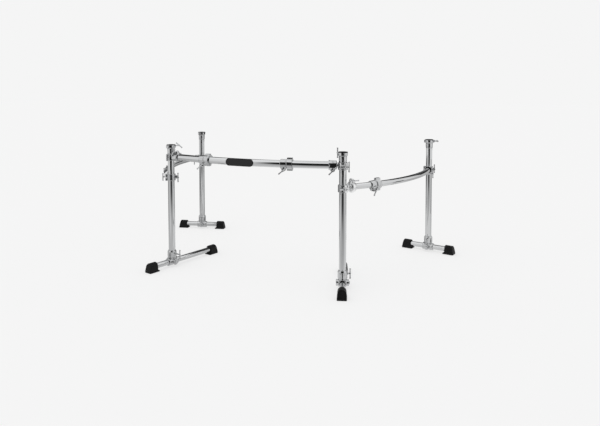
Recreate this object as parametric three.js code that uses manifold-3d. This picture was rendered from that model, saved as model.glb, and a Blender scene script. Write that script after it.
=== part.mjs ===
// Drum rack frame: four chromed posts carry a bowed front bar and two bowed side bars in cast clamps,
// and stand on straight foot tubes with rubber boots. Millimetres, +Z up. +X is to the right of
// someone who faces the front bar, and +Y runs from the front bar towards the rear posts.

import * as THREE from "three";
import { mergeVertices } from "three/addons/utils/BufferGeometryUtils.js";
import Module from "manifold-3d";

const wasm = await Module();
wasm.setup();

const degrees = Math.PI / 180;

// Layout of the rack
const frontSpan = 1042; // between the axes of the two front posts
const sideSpan = 916; // from a front post's axis to its rear post's axis
const sideSplay = 19.7 * degrees; // how far a side bar's chord opens out from +Y
const frontBow = 80; // rise of the front bar's arc over its chord
const sideBow = 104; // rise of a side bar's arc over its chord
const postTop = 714; // height of the collars' top faces
const barDrop = 116.5; // from the front bar's axis down to the side bars' axes

// Tubes
const postRadius = 38.1 / 2;
const frontBarRadius = 38.1 / 2;
const sideBarRadius = 31.8 / 2;
const footTubeRadius = 31.8 / 2;
const tubeWall = 1.8;

// Fits and rounding
const fit = 0.3; // gap between touching pieces
const overrun = 1; // how far a cut runs past what it cuts
const weldGap = 0.0005; // vertices closer than this are one
const travelFit = 0.5; // gap of a clamp that travels along a bowed bar
const tubeSides = 16;
const innerSides = 10; // sides of a tube's inner wall
const boltSides = 6;
const handleSides = 8;
const pinSides = 8;
const nutSides = 6;
const barSteps = 14;

// T-bolts
const boltRadius = 3.5;
const shoulderRadius = 6.5;
const shoulderLength = 5;
const handleRadius = 3.3;
const handleTipRadius = 4.2;
const handleTipLength = 7;
const handleLength = 55;

// Bar clamps: a hinged ring round a post, a neck and a split socket for the bar's end
const clampWall = 6;
const clampHeight = 38;
const clampRise = 14.2; // from a bar's axis up to the top of its clamp's ring
const splitGap = 1.2; // between the ring's two halves
const earThickness = 9;
const earReach = 14;
const earHeight = 20;
const earRoot = 4; // how far an ear starts inside the ring
const jawStem = 22; // from the jaw's ear to the T-handle
const jawBoltEnd = 3; // how far the bolt's end shows behind the ear
const pinRadius = 3;
const knuckleRadius = 6.5;
const pinOffset = 3; // pin axis outside the ring
const neckRadius = 12;
const neckLength = 6;
const socketWall = 4.5;
const socketLength = 42;
const socketFloor = 3;
const socketLip = 2;
const socketLipLength = 5;
const hubRadius = 31;
const lugWidth = 17; // both lugs of a split socket, across the slit
const lugLength = 24;
const lugReach = 13;
const lugRoot = 5;
const slitWidth = 2.4;
const socketStem = 20;

// How the socket bolts' handles stand, from upright
const frontLeftSocketHandle = 35 * degrees;
const frontRightSocketHandle = 45 * degrees;
const sideFrontSocketHandle = 90 * degrees;

// Collars on the post tops
const collarHeight = 55;
const flangeHeight = 18;
const flangeRadius = 26;
const collarRadius = 23.6;
const collarFootRadius = 20.6;
const collarTaper = 8;
const collarPadReach = 31;
const collarPadWidth = 17;
const rodBoreRadius = 13.2;
const rodBoreDepth = 26;
const collarStem = 20;
const frontLeftCollarStem = 34; // this bolt is screwed out further than its fellows
const frontLeftCollarTurn = 77 * degrees; // where each collar's bolt points, from +X
const frontRightCollarTurn = 140 * degrees;
const rearLeftCollarTurn = 120 * degrees;
const rearRightCollarTurn = 14 * degrees;
const frontLeftCollarHandle = 61 * degrees; // how the collar bolts' handles stand, from upright
const frontRightCollarHandle = 0;
const rearCollarHandle = 90 * degrees;

// Base clamps
const footAxisHeight = 28.5;
const baseTop = 95.4;
const baseLength = 54;
const baseWidth = 52;
const baseCorner = 22;
const baseFloor = 5; // metal between the foot tube's bore and the post's socket
const baseTaper = 9; // height of the slope between socket and saddle
const saddleWall = 6;
const saddleLength = 68;
const bossRadius = 17;
const bossReach = 34;
const jawNutRadius = 9;
const jawNutLength = 4;
const baseBoltDrop = 18; // bolt axis under the socket's top
const baseStem = 14;
const frontLeftBackedOut = 28; // this bolt is screwed out further than its fellows

// Foot tubes and boots
const frontToe = 16 * degrees;
const frontLeftFootAhead = 178; // from each front post's axis to its front boot's tip
const frontRightFootAhead = 188.6;
const frontLeftFootBehind = 351; // and to its rear boot's tip
const frontRightFootBehind = 305;
const rearToe = 13 * degrees;
const rearFootReach = 171.5;
const bootLength = 58;
const bootTopLength = 48;
const bootHeight = 53;
const bootWidth = 51;
const bootTopWidth = 41;
const bootCorner = 6;
const bootEdge = 5; // height of the upright edge round the sole
const bootLip = 12; // how far the sole runs on under the tube
const bootGrip = 40; // length of tube inside a boot

// Name plate, left bare
const plateLength = 163;
const plateHeight = 40;
const plateThickness = 3;
const plateWrap = 7; // how far its back reaches round the bar
const plateOffset = -27; // its centre, left of the rack's middle

// Accessory clamps, which travel along the bars
const travellerLength = 32; // length of its clamp ring
const holderLength = 30; // length of its holder ring
const holderWall = 9;
const holderGap = 3;
const holderPadReach = 34;
const holderPadWidth = 18;
const frontRightTraveller = 235; // places along the front bar, from the rack's middle
const frontLeftTraveller = -255;
const sideTraveller = 205; // along each side bar, from the front post
const frontTravellerHandle = 50 * degrees;
const sideTravellerHandle = 28 * degrees;

// Worked-out sizes
const ringRadius = postRadius + fit + clampWall;
const frontBarHeight = postTop - collarHeight - fit - clampRise; // height of the front bar's axis
const sideBarHeight = frontBarHeight - barDrop; // height of the side bars' axes
const ringMiddle = clampRise - clampHeight / 2;
const boltOffset = ringRadius + earReach / 2;
const pinY = ringRadius + pinOffset;
const socketStart = ringRadius + neckLength;
const socketEnd = socketStart + socketLength;
const socketMiddle = socketStart + socketLength / 2;
const barStart = socketStart + socketFloor;
const saddleRadius = footTubeRadius + fit + saddleWall;
const socketBottom = footAxisHeight + footTubeRadius + fit + baseFloor;
const postBottom = socketBottom + fit;
const boltHoleRadius = boreRadius(boltRadius, fit, boltSides);
const pinHoleRadius = boreRadius(pinRadius, fit, pinSides);
const knuckleSeatRadius = boreRadius(knuckleRadius, fit, pinSides);

// Materials
const chrome = new THREE.MeshStandardMaterial({ color: 0xd9dbdd, roughness: 0.08, metalness: 1 });
const castChrome = new THREE.MeshStandardMaterial({ color: 0xcfd1d3, roughness: 0.16, metalness: 1 });
const rubber = new THREE.MeshStandardMaterial({ color: 0x1c1c1d, roughness: 0.75, metalness: 0 });
const glossBlack = new THREE.MeshStandardMaterial({ color: 0x141415, roughness: 0.25, metalness: 0 });

// Turning three.js geometry into solids and back

function at(x, y, z) {
  return new THREE.Vector3(x, y, z);
}

function solidOf(geometry) {
  const bare = geometry.clone();
  bare.deleteAttribute("normal");
  bare.deleteAttribute("uv");
  const merged = mergeVertices(bare, weldGap);
  const corners = merged.index.array;
  const kept = [];
  for (let i = 0; i < corners.length; i += 3) {
    const [a, b, c] = [corners[i], corners[i + 1], corners[i + 2]];
    if (a !== b && b !== c && c !== a) {
      kept.push(a, b, c);
    }
  }
  return new wasm.Manifold(
    new wasm.Mesh({
      numProp: 3,
      vertProperties: new Float32Array(merged.attributes.position.array),
      triVerts: new Uint32Array(kept),
    }),
  );
}

function geometryOf(solid) {
  const mesh = solid.getMesh();
  const geometry = new THREE.BufferGeometry();
  geometry.setAttribute("position", new THREE.BufferAttribute(mesh.vertProperties, mesh.numProp));
  geometry.setIndex(new THREE.BufferAttribute(mesh.triVerts, 1));
  geometry.computeVertexNormals();
  return geometry;
}

function moved(solid, matrix) {
  return solidOf(geometryOf(solid).applyMatrix4(matrix));
}

function joined(...solids) {
  return solids.reduce((whole, piece) => whole.add(piece));
}

function cut(solid, ...tools) {
  return tools.reduce((rest, tool) => rest.subtract(tool), solid);
}

function piece(name, solid, material) {
  const mesh = new THREE.Mesh(geometryOf(solid), material);
  mesh.name = name;
  return mesh;
}

function placed(object, x, y, z, turn = 0) {
  object.position.set(x, y, z);
  object.rotation.z = turn;
  return object;
}

// Basic solids

// A round bar from one point to another.
function rod(from, to, radius, sides = boltSides, endRadius = radius) {
  const axis = to.clone().sub(from);
  const geometry = new THREE.CylinderGeometry(endRadius, radius, axis.length(), sides);
  const alongY = at(0, 1, 0);
  geometry.applyQuaternion(new THREE.Quaternion().setFromUnitVectors(alongY, axis.clone().normalize()));
  const middle = from.clone().add(to).divideScalar(2);
  geometry.translate(middle.x, middle.y, middle.z);
  return solidOf(geometry);
}

// A box between two opposite corners, given in any order.
function block(from, to) {
  const size = to.clone().sub(from);
  const middle = from.clone().add(to).divideScalar(2);
  const geometry = new THREE.BoxGeometry(Math.abs(size.x), Math.abs(size.y), Math.abs(size.z));
  geometry.translate(middle.x, middle.y, middle.z);
  return solidOf(geometry);
}

// A solid of revolution about +X, from [along, radius] points that start and end on the axis.
function turnedAlongX(profile, sides = tubeSides) {
  const points = profile.map(([along, radius]) => new THREE.Vector2(radius, along));
  const geometry = new THREE.LatheGeometry(points, sides);
  geometry.rotateZ(-Math.PI / 2);
  return solidOf(geometry);
}

// An upright prism on a plan outline.
function prism(outline, bottom, top) {
  const geometry = new THREE.ExtrudeGeometry(outline, { depth: top - bottom, bevelEnabled: false });
  geometry.translate(0, 0, bottom);
  return solidOf(geometry);
}

function roundedRectangle(width, height, corner, cornerSteps = 3) {
  const [x, y] = [width / 2 - corner, height / 2 - corner];
  const centres = [[x, y], [-x, y], [-x, -y], [x, -y]];
  const points = [];
  centres.forEach(([cx, cy], quarter) => {
    for (let i = 0; i <= cornerSteps; i += 1) {
      const angle = ((quarter + i / cornerSteps) * Math.PI) / 2;
      points.push(new THREE.Vector2(cx + corner * Math.cos(angle), cy + corner * Math.sin(angle)));
    }
  });
  return new THREE.Shape(points);
}

// The corner radius of a faceted bore that clears a round bar by the given gap however the bar turns.
function boreRadius(barRadius, gap = fit, sides = tubeSides) {
  return (barRadius + gap) / Math.cos(Math.PI / sides);
}

function polygon(radius, sides) {
  const points = [];
  for (let i = 0; i < sides; i += 1) {
    const angle = (i / sides) * 2 * Math.PI;
    points.push(new THREE.Vector2(radius * Math.cos(angle), radius * Math.sin(angle)));
  }
  return points;
}

// Bowed bars. Each is an arc that leaves a post along +X and bends towards +Y (bend 1) or -Y (bend -1).
class LevelArc extends THREE.Curve {
  constructor(radius, bend, start, end) {
    super();
    Object.assign(this, { radius, bend, start, end });
  }

  getPoint(share, target = new THREE.Vector3()) {
    const angle = (this.start + (this.end - this.start) * share) / this.radius;
    const sideways = this.bend * this.radius * (1 - Math.cos(angle));
    return target.set(this.radius * Math.sin(angle), sideways, 0);
  }
}

// The numbers of a bar's arc: its radius, half angle and length between the post axes.
function arcOver(span, bow, bend) {
  const radius = (span * span) / (8 * bow) + bow / 2;
  const half = Math.asin(span / 2 / radius);
  return { radius, half, length: 2 * half * radius, bend };
}

function sweptAlong(arc, start, end, radius, innerRadius, steps) {
  const section = new THREE.Shape(polygon(radius, tubeSides));
  if (innerRadius) {
    section.holes.push(new THREE.Path(polygon(innerRadius, innerSides)));
  }
  const path = new LevelArc(arc.radius, arc.bend, start, end);
  return solidOf(new THREE.ExtrudeGeometry(section, { steps, bevelEnabled: false, extrudePath: path }));
}

// The bore that a bar's end sits in: the bar itself, grown by the fit.
function barBore(arc, radius, gap = fit) {
  return sweptAlong(arc, barStart, arc.length - barStart, boreRadius(radius, gap), 0, barSteps);
}

// The place and heading of a point on the arc.
function frameOnArc(arc, along) {
  const point = new LevelArc(arc.radius, arc.bend, 0, along).getPoint(1);
  return { x: point.x, y: point.y, turn: (arc.bend * along) / arc.radius };
}

function matrixOnArc(arc, along) {
  const { x, y, turn } = frameOnArc(arc, along);
  return new THREE.Matrix4().makeRotationZ(turn).setPosition(x, y, 0);
}

// T-bolt along +X. Its seat is at x = 0, its shank reaches back from there, its handle stands at the stem.
function tBoltSolid(shank, stem, handleTurn = 0) {
  const screw = turnedAlongX([
    [-shank, 0],
    [-shank, boltRadius],
    [fit, boltRadius],
    [fit, shoulderRadius],
    [fit + shoulderLength, boltRadius],
    [stem, boltRadius],
    [stem, 0],
  ], boltSides);
  const tip = handleLength / 2;
  const handle = turnedAlongX([
    [-tip, 0],
    [-tip, handleTipRadius],
    [handleTipLength - tip, handleRadius],
    [tip - handleTipLength, handleRadius],
    [tip, handleTipRadius],
    [tip, 0],
  ], handleSides);
  const upright = new THREE.Matrix4().makeRotationY(-Math.PI / 2);
  const swung = new THREE.Matrix4().makeRotationX(-handleTurn).setPosition(stem, 0, 0);
  return joined(screw, moved(handle, swung.multiply(upright)));
}

// Bar clamp, in a frame with the post along Z and the bar leaving along +X. side is the side of the
// jaw's bolt, 1 for +Y. lugs is 1 for socket lugs over the bar and -1 for lugs under it.

function clampRing(sign) {
  const low = ringMiddle - clampHeight / 2;
  const high = ringMiddle + clampHeight / 2;
  const half = block(
    at((sign * splitGap) / 2, -ringRadius * 2, low - overrun),
    at(sign * ringRadius * 2, ringRadius * 2, high + overrun),
  );
  return rod(at(0, 0, low), at(0, 0, high), ringRadius, tubeSides).intersect(half);
}

function clampEar(sign, side) {
  return block(
    at((sign * splitGap) / 2, side * (ringRadius - earRoot), ringMiddle - earHeight / 2),
    at(sign * (splitGap / 2 + earThickness), side * (ringRadius + earReach), ringMiddle + earHeight / 2),
  );
}

function atPin(side, from, to, radius) {
  return rod(at(0, -side * pinY, ringMiddle + from), at(0, -side * pinY, ringMiddle + to), radius, pinSides);
}

// A web that ties a knuckle to its half of the ring.
function knuckleWeb(sign, side, from, to) {
  return block(
    at((sign * splitGap) / 2, -side * pinY, ringMiddle + from),
    at(sign * knuckleRadius, -side * (postRadius + clampWall / 2), ringMiddle + to),
  );
}

const knuckleShare = 1 / 6; // the middle knuckle reaches this share of the ring's height each way
const middleKnuckle = clampHeight * knuckleShare;

function postBore() {
  const top = clampHeight * 2;
  return rod(at(0, 0, -top), at(0, 0, top), boreRadius(postRadius), tubeSides);
}

function plainSocket(barRadius) {
  const outer = barRadius + fit + socketWall;
  const half = socketLength / 2;
  return turnedAlongX([
    [-half, 0],
    [-half, outer],
    [half - socketLipLength, outer],
    [half - socketLipLength, outer + socketLip],
    [half, outer + socketLip],
    [half, 0],
  ]);
}

// The ball-shaped hub of the clamps at the front end of the side bars.
const hubShares = [[0, 0.5], [0.2, 0.9], [0.44, 1], [0.72, 0.86], [1, 0.65]];

function ballSocket() {
  const profile = hubShares.map(([along, radius]) => [(along - 1 / 2) * socketLength, radius * hubRadius]);
  const half = socketLength / 2;
  return turnedAlongX([[-half, 0], ...profile, [half, 0]]);
}

function barClampBody({ barRadius, arc, side, lugs, boltSide, handleTurn, ball }) {
  const onBar = matrixOnArc(arc, socketMiddle);
  const outer = ball ? hubRadius : barRadius + fit + socketWall;
  const lugBase = lugs * (outer - lugRoot);
  const lugTip = lugs * (outer + lugReach);
  const lug = block(at(-lugLength / 2, -lugWidth / 2, lugBase), at(lugLength / 2, lugWidth / 2, lugTip));
  const slit = block(
    at(-socketLength, -slitWidth / 2, 0),
    at(socketLength, slitWidth / 2, lugTip + lugs * overrun),
  );
  const socketSlit = moved(slit, onBar);
  const behindSocket = block(
    at(-ringRadius * 2, -hubRadius * 2, -hubRadius * 2),
    at(barStart, hubRadius * 2, hubRadius * 2),
  );
  const boltSeat = at(0, (boltSide * lugWidth) / 2, lugs * (outer + lugReach / 3));
  const boltTurn = new THREE.Matrix4().makeRotationZ((boltSide * Math.PI) / 2);
  const boltFrame = onBar.clone().multiply(boltTurn.setPosition(boltSeat));
  const socketBolt = moved(tBoltSolid(lugWidth + fit, socketStem, handleTurn), boltFrame);
  const socket = moved(ball ? ballSocket() : plainSocket(barRadius), onBar);
  const boltSlot = block(
    at(-overrun, side * (boltOffset - boltRadius - fit), ringMiddle - boltRadius - fit),
    at(earThickness * 2, side * (ringRadius + earReach + overrun), ringMiddle + boltRadius + fit),
  );
  const outerKnuckle = clampHeight / 2 + overrun;
  const casting = joined(
    clampRing(1),
    clampEar(1, side),
    knuckleWeb(1, side, -middleKnuckle, middleKnuckle),
    rod(at(0, 0, 0), at(socketStart + socketFloor, 0, 0), neckRadius, innerSides),
    socket,
    moved(lug, onBar),
  );
  return joined(
    cut(
      casting,
      postBore(),
      barBore(arc, barRadius),
      cut(socketSlit, behindSocket),
      boltSlot,
      atPin(side, middleKnuckle, outerKnuckle, knuckleSeatRadius),
      atPin(side, -outerKnuckle, -middleKnuckle, knuckleSeatRadius),
    ),
    atPin(side, -middleKnuckle, middleKnuckle, knuckleRadius),
    atPin(side, -clampHeight / 2, clampHeight / 2, pinRadius),
    socketBolt,
  );
}

function barClampJaw({ side }) {
  const half = clampHeight / 2;
  const bolt = at(0, side * boltOffset, ringMiddle);
  const boltHole = rod(bolt.clone().setX(overrun), bolt.clone().setX(-earThickness * 2), boltHoleRadius);
  const lugs = joined(atPin(side, -half, half, knuckleRadius), knuckleWeb(-1, side, -half, half));
  return cut(
    joined(clampRing(-1), clampEar(-1, side), lugs),
    postBore(),
    atPin(side, -middleKnuckle - fit, middleKnuckle + fit, knuckleSeatRadius),
    atPin(side, -half - overrun, half + overrun, pinHoleRadius),
    boltHole,
  );
}

function barClamp(name, options) {
  const group = new THREE.Group();
  group.add(piece(`${name}_clamp`, barClampBody(options), castChrome));
  group.add(piece(`${name}_jaw`, barClampJaw(options), castChrome));
  const shank = earThickness * 2 + splitGap + jawBoltEnd;
  const bolt = piece(`${name}_jaw_bolt`, tBoltSolid(shank, jawStem), castChrome);
  bolt.position.set(-splitGap / 2 - earThickness, options.side * boltOffset, ringMiddle);
  bolt.rotation.z = Math.PI;
  group.add(bolt);
  return group;
}

// Accessory clamp, in a frame with the bar along X through its middle.
function travellerSolid(arc, barRadius, along) {
  const outer = barRadius + fit + clampWall;
  const holder = barRadius + fit + holderWall;
  const reach = outer + lugReach;
  const left = -travellerLength - holderGap / 2;
  const lugMiddle = left + travellerLength / 2;
  const right = holderGap / 2;
  const local = matrixOnArc(arc, along).invert();
  const bore = barBore(arc, barRadius, travelFit);
  const casting = joined(
    rod(at(left, 0, 0), at(-holderGap / 2, 0, 0), outer, tubeSides),
    rod(at(-holderGap, 0, 0), at(holderGap, 0, 0), outer - holderGap / 2, tubeSides),
    rod(at(right, 0, 0), at(right + holderLength, 0, 0), holder, tubeSides),
    block(
      at(right, -holderPadWidth / 2, -holderPadReach),
      at(right + holderLength, holderPadWidth / 2, holderPadReach),
    ),
    block(
      at(lugMiddle - lugLength / 2, -lugWidth / 2, lugRoot - outer),
      at(lugMiddle + lugLength / 2, lugWidth / 2, -reach),
    ),
  );
  const slit = block(
    at(left - overrun, -slitWidth / 2, 0),
    at(-holderGap / 2, slitWidth / 2, -reach - overrun),
  );
  const boltHole = rod(
    at(lugMiddle, -lugWidth, lugReach / 3 - reach),
    at(lugMiddle, lugWidth, lugReach / 3 - reach),
    boltHoleRadius,
  );
  return cut(casting, moved(bore, local), slit, boltHole);
}

function traveller(name, arc, barRadius, along, boltSide, handleTurn) {
  const group = new THREE.Group();
  const outer = barRadius + fit + clampWall;
  group.add(piece(`${name}_clamp`, travellerSolid(arc, barRadius, along), castChrome));
  const bolt = piece(`${name}_bolt`, tBoltSolid(lugWidth, socketStem, handleTurn), castChrome);
  const lugMiddle = -(travellerLength + holderGap) / 2;
  bolt.position.set(lugMiddle, (boltSide * lugWidth) / 2, lugReach / 3 - outer - lugReach);
  bolt.rotation.z = (boltSide * Math.PI) / 2;
  group.add(bolt);
  const { x, y, turn } = frameOnArc(arc, along);
  return placed(group, x, y, 0, turn);
}

// Post with its collar, in a frame with the floor at z = 0.
function postSolid(boltTurn) {
  const under = postTop - collarHeight;
  const flangeBottom = postTop - flangeHeight;
  const boltHeight = postTop - flangeHeight / 2;
  const turnMatrix = new THREE.Matrix4().makeRotationZ(boltTurn);
  const pad = block(
    at(rodBoreRadius, -collarPadWidth / 2, flangeBottom),
    at(collarPadReach, collarPadWidth / 2, postTop),
  );
  const farPad = block(
    at(-rodBoreRadius, -collarPadWidth / 2, flangeBottom),
    at(-collarPadReach, collarPadWidth / 2, postTop),
  );
  const hole = rod(at(0, 0, boltHeight), at(collarPadReach + overrun, 0, boltHeight), boltHoleRadius);
  const casting = joined(
    rod(at(0, 0, flangeBottom), at(0, 0, postTop), flangeRadius, tubeSides),
    rod(at(0, 0, under + collarTaper), at(0, 0, flangeBottom), collarRadius, tubeSides),
    rod(at(0, 0, under), at(0, 0, under + collarTaper), collarFootRadius, tubeSides, collarRadius),
    moved(joined(pad, farPad), turnMatrix),
    rod(at(0, 0, postBottom), at(0, 0, postTop), postRadius, tubeSides),
  );
  return cut(
    casting,
    rod(at(0, 0, postTop - rodBoreDepth), at(0, 0, postTop + overrun), rodBoreRadius, innerSides),
    rod(at(0, 0, postBottom - overrun), at(0, 0, postTop - rodBoreDepth), postRadius - tubeWall, innerSides),
    moved(hole, turnMatrix),
  );
}

// Base clamp, in a frame with the floor at z = 0 and the foot tube along X. Its bolt comes in from -Y.
function baseClampSolid() {
  const boltHeight = baseTop - baseBoltDrop;
  const slope = socketBottom - baseFloor;
  const lowCorner = Math.min(baseCorner, saddleRadius - fit);
  const upper = joined(
    prism(roundedRectangle(baseLength, baseWidth, baseCorner), slope + baseTaper, baseTop),
    prism(roundedRectangle(baseWidth, saddleRadius * 2, lowCorner), footAxisHeight, slope + baseTaper),
  );
  const half = saddleLength / 2;
  const axisPoint = (x, y = 0) => at(x, y, footAxisHeight);
  const boss = rod(axisPoint(0, -bossReach), axisPoint(0, bossReach), bossRadius, innerSides);
  const nut = rod(axisPoint(0, -bossReach - jawNutLength), axisPoint(0, -bossReach), jawNutRadius, nutSides);
  const slit = block(
    at(-saddleLength, -bossReach * 2, footAxisHeight - splitGap / 2),
    at(saddleLength, 0, footAxisHeight + splitGap / 2),
  );
  const nutZone = block(
    at(-jawNutRadius, -bossReach * 2, 0),
    at(jawNutRadius, -saddleRadius - fit, footAxisHeight * 2),
  );
  return cut(
    joined(upper, rod(axisPoint(-half), axisPoint(half), saddleRadius, tubeSides), boss, nut),
    rod(at(0, 0, socketBottom), at(0, 0, baseTop + overrun), boreRadius(postRadius), tubeSides),
    rod(axisPoint(-baseLength), axisPoint(baseLength), boreRadius(footTubeRadius), tubeSides),
    cut(slit, nutZone),
    rod(at(0, 0, boltHeight), at(0, -baseWidth, boltHeight), boltHoleRadius),
  );
}

// Boot for the +X end of a foot tube, with its tip at x = 0.
function bootSolid() {
  const slant = bootLength - bootTopLength;
  const side = new THREE.Shape([
    new THREE.Vector2(0, 0),
    new THREE.Vector2(0, bootEdge),
    new THREE.Vector2(-slant, bootHeight - bootCorner),
    new THREE.Vector2(-slant - bootCorner, bootHeight),
    new THREE.Vector2(-bootLength, bootHeight - bootCorner / 2),
    new THREE.Vector2(-bootLength, footAxisHeight - footTubeRadius - fit),
    new THREE.Vector2(-bootLength - bootLip, bootEdge),
    new THREE.Vector2(-bootLength - bootLip, 0),
  ]);
  const sideways = new THREE.ExtrudeGeometry(side, { depth: bootWidth * 2, bevelEnabled: false });
  sideways.rotateX(Math.PI / 2);
  sideways.translate(0, bootWidth, 0);
  const [sole, top] = [bootWidth / 2, bootTopWidth / 2];
  const front = new THREE.Shape([
    new THREE.Vector2(-sole, 0),
    new THREE.Vector2(-sole, bootEdge),
    new THREE.Vector2(-top - bootEdge / 4, bootHeight - bootCorner * 2),
    new THREE.Vector2(-top + bootCorner / 4, bootHeight - bootCorner * 2 / 3),
    new THREE.Vector2(-top + bootCorner, bootHeight),
    new THREE.Vector2(top - bootCorner, bootHeight),
    new THREE.Vector2(top - bootCorner / 4, bootHeight - bootCorner * 2 / 3),
    new THREE.Vector2(top + bootEdge / 4, bootHeight - bootCorner * 2),
    new THREE.Vector2(sole, bootEdge),
    new THREE.Vector2(sole, 0),
  ]);
  const lengthways = new THREE.ExtrudeGeometry(front, { depth: bootLength * 3, bevelEnabled: false });
  lengthways.rotateX(Math.PI / 2);
  lengthways.rotateZ(Math.PI / 2);
  lengthways.translate(-bootLength * 2, 0, 0);
  const bore = rod(
    at(bootGrip - bootLength + fit, 0, footAxisHeight),
    at(-bootLength - bootLip - overrun, 0, footAxisHeight),
    boreRadius(footTubeRadius),
    tubeSides,
  );
  return cut(solidOf(sideways).intersect(solidOf(lengthways)), bore);
}

// One foot under a post: its base clamp and bolt, and the foot tube with its two boots. boots names
// the boot on the tube's -X end first.
function foot(name, ahead, behind, boots, backedOut = 0) {
  const group = new THREE.Group();
  group.add(piece(`${name}_base_clamp`, baseClampSolid(), castChrome));
  const shank = baseWidth / 2 - postRadius - fit;
  const bolt = piece(`${name}_base_bolt`, tBoltSolid(shank, baseStem + backedOut), castChrome);
  placed(bolt, 0, -baseWidth / 2, baseTop - baseBoltDrop, -Math.PI / 2);
  group.add(bolt);
  const inBoot = bootLength - bootGrip;
  const ends = [at(inBoot - ahead, 0, footAxisHeight), at(behind - inBoot, 0, footAxisHeight)];
  const outside = rod(ends[0], ends[1], footTubeRadius, tubeSides);
  const lengthen = at(overrun, 0, 0);
  const inside = rod(ends[0].clone().sub(lengthen), ends[1].clone().add(lengthen), footTubeRadius - tubeWall,
    innerSides);
  group.add(piece(`${name}_foot_tube`, cut(outside, inside), chrome));
  group.add(placed(piece(`${name}_${boots[0]}_boot`, bootSolid(), rubber), -ahead, 0, 0, Math.PI));
  group.add(placed(piece(`${name}_${boots[1]}_boot`, bootSolid(), rubber), behind, 0, 0));
  return group;
}

// A leg: the post, its collar bolt and its foot. collarTurn is where the collar's bolt points.
function leg(name, { footTurn, ahead, behind, boots, backedOut, collarTurn, handleTurn, stem = collarStem }) {
  const group = new THREE.Group();
  group.add(piece(`${name}_post`, postSolid(collarTurn), chrome));
  const shank = collarPadReach - rodBoreRadius - fit;
  const bolt = piece(`${name}_collar_bolt`, tBoltSolid(shank, stem, handleTurn), castChrome);
  const seat = at(collarPadReach, 0, postTop - flangeHeight / 2).applyAxisAngle(at(0, 0, 1), collarTurn);
  group.add(placed(bolt, seat.x, seat.y, seat.z, collarTurn));
  group.add(placed(foot(name, ahead, behind, boots, backedOut), 0, 0, 0, footTurn));
  return group;
}

// Bars in their clamps. Each group's origin is on the axis of the post it starts from, with the bar
// leaving along +X, so the far post's clamp sits at the other end of the arc and faces back.

function bar(name, arc, radius) {
  const start = barStart + fit;
  const solid = sweptAlong(arc, start, arc.length - start, radius, radius - tubeWall, barSteps);
  return piece(name, solid, chrome);
}

function clampAtFarEnd(name, arc, options) {
  const { x, y, turn } = frameOnArc(arc, arc.length);
  const facingBack = { ...arc, bend: -arc.bend };
  return placed(barClamp(name, { ...options, arc: facingBack }), x, y, 0, turn + Math.PI);
}

const frontArc = arcOver(frontSpan, frontBow, 1);

function namePlate() {
  const along = frontArc.length / 2 + plateOffset;
  const outline = roundedRectangle(plateLength, plateHeight, plateHeight / 2 - fit, 5);
  const depth = plateThickness + plateWrap;
  const slab = new THREE.ExtrudeGeometry(outline, { depth, bevelEnabled: false });
  slab.rotateX(Math.PI / 2);
  slab.translate(0, plateWrap - frontBarRadius, 0);
  const bore = barBore(frontArc, frontBarRadius);
  const solid = cut(solidOf(slab), moved(bore, matrixOnArc(frontArc, along).invert()));
  const { x, y, turn } = frameOnArc(frontArc, along);
  return placed(piece("name_plate", solid, glossBlack), x, y, 0, turn);
}

function frontFrame() {
  const group = new THREE.Group();
  group.add(bar("front_bar", frontArc, frontBarRadius));
  group.add(namePlate());
  const shared = { barRadius: frontBarRadius, side: 1 };
  const [up, down] = [1, -1];
  group.add(barClamp("front_left", {
    ...shared, arc: frontArc, lugs: up, boltSide: -1, handleTurn: frontLeftSocketHandle,
  }));
  group.add(clampAtFarEnd("front_right", frontArc, {
    ...shared, lugs: down, boltSide: 1, handleTurn: frontRightSocketHandle,
  }));
  const middle = frontArc.length / 2;
  const places = { front_left: frontLeftTraveller, front_right: frontRightTraveller };
  Object.entries(places).forEach(([name, place]) => {
    const along = middle + place;
    group.add(traveller(`${name}_accessory`, frontArc, frontBarRadius, along, -1, frontTravellerHandle));
  });
  return placed(group, -frontSpan / 2, 0, frontBarHeight, -frontArc.half);
}

// side is 1 for the right-hand side bar and -1 for the left-hand one.
function sideFrame(name, side) {
  const arc = arcOver(sideSpan, sideBow, side);
  const group = new THREE.Group();
  group.add(bar(`${name}_side_bar`, arc, sideBarRadius));
  const shared = { barRadius: sideBarRadius };
  group.add(barClamp(`${name}_side_front`, {
    ...shared, arc, side: -1, lugs: 1, boltSide: -side, handleTurn: sideFrontSocketHandle, ball: true,
  }));
  group.add(clampAtFarEnd(`${name}_side_rear`, arc, {
    ...shared, side: 1, lugs: -1, boltSide: side, handleTurn: 0,
  }));
  const accessory = `${name}_side_accessory`;
  group.add(traveller(accessory, arc, sideBarRadius, sideTraveller, -side, sideTravellerHandle));
  const heading = Math.PI / 2 - side * (sideSplay + arc.half);
  return placed(group, (side * frontSpan) / 2, 0, sideBarHeight, heading);
}

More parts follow.
